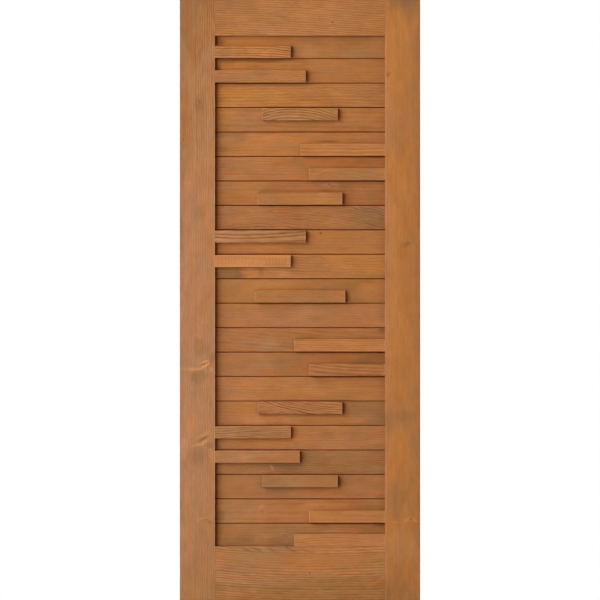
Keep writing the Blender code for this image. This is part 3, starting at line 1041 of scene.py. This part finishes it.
BARS = {
    1: Cut("honey", [
        Patch("olive", -0.11, 0, 0.035, 0.03, 0.9),
        Patch("amber", 0.02, 0, 0.05, 0.03, 0.6),
    ], end="clay", thirst=0.03, bow=0.18, bow_centre=-0.09, figure=1.3, waver=0.8,
        ring_width=0.0074),
    2: Cut("mauve", [
        Patch("amber", 0.08, -0.01, 0.06, 0.01, 0.5),
        Patch("slate", 0, 0.01, 0.05, 0.008, 0.4),
    ], end="tan", thirst=0.04, swirl=0.003, figure=0.42, waver=1.8, ring_width=0.0068),
    3: Cut("olive", [
        Patch("slate", -0.11, -0.012, 0.03, 0.015, 0.7),
        Patch("amber", -0.03, -0.004, 0.03, 0.006, 0.6, figure=1.15),
    ], thirst=-0.03, bow=1.5, bow_centre=-0.02, swirl=0.0015, figure=1.15, waver=0.6,
        ring_width=0.0082),
    4: Cut("amber", [
        Patch("honey", -0.135, 0, 0.035, 0.03, 0.8),
        Patch("honey", 0.13, 0, 0.03, 0.03, 0.5),
    ], figure=0.48, waver=0.8, ring_width=0.0125),
    5: Cut("honey", [
        Patch("olive", 0.03, 0, 0.05, 0.03, 0.9),
        Patch("gold", 0.12, 0, 0.03, 0.03, 0.6),
        Patch("blond", -0.09, 0.006, 0.03, 0.004, 0.4, slant=20),
    ], end="sage", thirst=0.005, bow=0.5, bow_centre=-0.1, figure=0.28, ring_width=0.013),
    6: Cut("olive", [
        Patch("olive", -0.08, -0.01, 0.035, 0.01, 0.8),
        Patch("amber", -0.12, 0.006, 0.02, 0.01, 0.5),
        Patch("amber", 0, 0, 0.05, 0.02, 0.4),
        Patch("gold", 0.122, -0.004, 0.009, 0.016, 0.6),
        # A painted highlight along the top arris.
        Patch("blond", 0.08, 0.0185, 0.026, 0.0032, 0.5),
    ], end="tan", wear_and_highlight=0.3, figure=0.22, ring_width=0.011),
    7: Cut("sage", [
        Patch("rose", -0.12, 0, 0.06, 0.03, 0.6),
        Patch("slate", 0.12, 0, 0.05, 0.03, 0.3),
        Patch("slate", -0.078, -0.012, 0.035, 0.01, 0.4),
    ], thirst=0.025, wear_and_highlight=0.3, bow=-0.2, bow_centre=-0.06, uneven=1.4, figure=1.1, waver=0.25,
        ring_width=0.0122),
    8: Cut("blond", [
        # Painted highlights along both long arrises.
        *(Patch("peach", 0, arris, 0.2, 0.003, 0.4) for arris in (0.019, -0.019)),
        Patch("slate", 0.09, -0.012, 0.03, 0.01, 0.2),
    ], thirst=0.05, wear_and_highlight=0.4, ripple=0.045, figure=0.15, ring_width=0.014),
    9: Cut("honey", [
        Patch("tan", 0.13, 0, 0.035, 0.03, 0.9),
    ], end="olive", figure=0.42, ring_width=0.0074),
    10: Cut("amber", thirst=-0.02, figure=0.66, waver=0.3, ring_width=0.0068),
    11: Cut("mauve", end="clay", thirst=0.04, bow=-0.25, bow_centre=0.1, figure=0.66, waver=0.3,
        ring_width=0.0125),
    12: Cut("mauve", thirst=0.07, tilt=0.2, bow=-0.54, figure=1.2, waver=0.8, ring_width=0.0072),
    13: Cut("sage", [
        band("slate", 0, 0.18, 0.35),
    ], wear_and_highlight=0.3, tilt=-0.04, bow=0.1, figure=1.05, waver=0.8, ring_width=0.0065, uneven=0.5),
    14: Cut("rose", [
        Patch("mauve", -0.14, 0, 0.05, 0.03, 0.7),
        Patch("blond", -0.05, 0, 0.014, 0.02, 0.4),
    ], end="tan", thirst=0.05, wear_and_highlight=0.3, figure=0.38),
    15: Cut("sage", [
        Patch("slate", -0.11, 0, 0.04, 0.02, 0.4),
    ], end="olive", thirst=0.005, figure=0.2),
    16: Cut("amber", [
        Patch("umber", 0.06, 0.002, 0.08, 0.003, 0.4, slant=-2),
        Patch("clay", 0.12, 0, 0.04, 0.03, 0.4),
    ], figure=0.17, ring_width=0.0125),
    17: Cut("tan",
        thirst=-0.06, bow=0.5, bow_centre=-0.02, figure=0.42, waver=0.8, ring_width=0.0078),
}
for number, cut in BARS.items():
    node = f"bar_{number:02d}"
    right_end = (BOXES[node][1].x - BOXES[node][0].x) / 2
    # A painted highlight along each bar's right end.
    cut.patches.append(Patch("worn_and_lit", right_end, 0, *BAR_END_HIGHLIGHT))
    cut.grain["seed"] = FIRST_BAR_SEED + number * BAR_SEED_STEP
    CUTS[node] = cut

for node in sorted(BOXES):
    slot = node.split("_")[0]
    grain = "Z" if slot == "stile" else "X"
    if slot == "board":
        stain_and_shade = joint_stain_and_recess_shade(node, CUTS[node].joint)
    elif slot == "bar":
        stain_and_shade = None
    else:
        stain_and_shade = outline_darkening_and_edge_shade
    material = wood_material(node, grain, CUTS[node], stain_and_shade)
    finished_piece(node, material)


# --- Stage, light and camera ---

FLOOR_HALF_SIZE = 40.0
FLOOR_CLEARANCE = 0.004
FLOOR_COLOUR = (0.12, 0.12, 0.12)
FLOOR_GLOW = (0.90, 0.90, 0.89)
FLOOR_ROUGHNESS = 0.7

# A key strip or the fill starts and ends this far from the door's plane, with this radiance. A band
# of the key starts and ends this far above or below the door's middle, with this share of it.
WALL_DISTANCE = 5.0
KEY_STRIPS = ((0.25, 1.0, 6.7), (1.0, 3.0, 4.75), (3.0, 6.5, 2.84), (6.5, 10.0, 0.93))
KEY_BANDS = ((-7.0, -1.0, 1.1), (-1.0, 1.0, 0.6), (1.0, 8.0, 1.9))
FILL_STRIP = (0.25, 5.0, 1.29)
FILL_BAND = (-6.0, 8.0)
KEY_COLOUR = (0.945, 1.003, 0.980)
FILL_COLOUR = (1.0, 0.61, 0.30)
WHITE = (1.0, 1.0, 1.0)
SURROUNDING_LIGHT = 0.03

CAMERA_DISTANCE = 3.0
FRAMED_INSIDE = 0.0015


def pale_floor():
    """A floor just clear of the door, which glows a little and neither lights nor shades it."""
    mesh = bpy.data.meshes.new("floor")
    bm = bmesh.new()
    bmesh.ops.create_grid(bm, x_segments=1, y_segments=1, size=FLOOR_HALF_SIZE)
    bm.to_mesh(mesh)
    bm.free()
    floor = bpy.data.objects.new("floor", mesh)
    floor.location = (CENTRE.x, CENTRE.y, LOW.z - FLOOR_CLEARANCE)
    floor.visible_shadow = False
    floor.visible_diffuse = False
    floor.visible_glossy = False
    bpy.context.scene.collection.objects.link(floor)
    material = bpy.data.materials.new("floor")
    material.use_nodes = True
    shader = material.node_tree.nodes["Principled BSDF"]
    feed(shader.inputs["Base Color"], FLOOR_COLOUR)
    feed(shader.inputs["Roughness"], FLOOR_ROUGHNESS)
    feed(shader.inputs["Emission Color"], FLOOR_GLOW)
    feed(shader.inputs["Emission Strength"], 1.0)
    mesh.materials.append(material)


def wall_of_light(name, side, facing, strip, band, colour):
    """A soft panel square to the door's face, which can't be seen.

    side is -1 for the hinge side and 1 for the latch side, and facing is -1 in front and 1 behind.
    """
    near, far, radiance = strip
    low, high = band
    light = bpy.data.lights.new(name, "AREA")
    light.shape = "RECTANGLE"
    light.size = high - low
    light.size_y = far - near
    light.energy = radiance * math.pi * light.size * light.size_y
    light.color = colour
    lamp = bpy.data.objects.new(name, light)
    away = (side * WALL_DISTANCE, facing * (near + far) / 2, (low + high) / 2)
    lamp.location = CENTRE + Vector(away)
    lamp.rotation_euler = (0, side * math.radians(90), 0)
    lamp.visible_camera = False
    bpy.context.scene.collection.objects.link(lamp)


def light_one_face(name, facing):
    """A key light from the viewer's left, brightest from high up and near the face, and a fill."""
    for near, far, radiance in KEY_STRIPS:
        for low, high, share in KEY_BANDS:
            strip = (near, far, radiance * share)
            wall_of_light(f"{name}_key", facing, facing, strip, (low, high), KEY_COLOUR)
    wall_of_light(f"{name}_fill", -facing, facing, FILL_STRIP, FILL_BAND, FILL_COLOUR)


def white_surroundings():
    """A world that is white behind the object and lights it softly from all round."""
    world = bpy.data.worlds.new("studio")
    bpy.context.scene.world = world
    world.use_nodes = True
    tree = world.node_tree
    background = tree.nodes["Background"]
    rays = tree.nodes.new("ShaderNodeLightPath")
    seen = Value(tree, rays.outputs["Is Camera Ray"])
    feed(background.inputs["Color"], blended(tree, seen, FILL_COLOUR, WHITE))
    feed(background.inputs["Strength"], seen * (1.0 - SURROUNDING_LIGHT) + SURROUNDING_LIGHT)


def front_camera():
    """Straight on, with no convergence, and framed just inside the door's top and bottom."""
    data = bpy.data.cameras.new("camera")
    data.type = "ORTHO"
    data.ortho_scale = HIGH.z - LOW.z - 2 * FRAMED_INSIDE
    camera = bpy.data.objects.new("camera", data)
    camera.location = (CENTRE.x, LOW.y - CAMERA_DISTANCE, CENTRE.z)
    camera.rotation_euler = (math.radians(90), 0, 0)
    bpy.context.scene.collection.objects.link(camera)
    bpy.context.scene.camera = camera


pale_floor()
white_surroundings()
light_one_face("front", -1)
light_one_face("back", 1)
front_camera()
bpy.context.scene.view_settings.view_transform = "Standard"
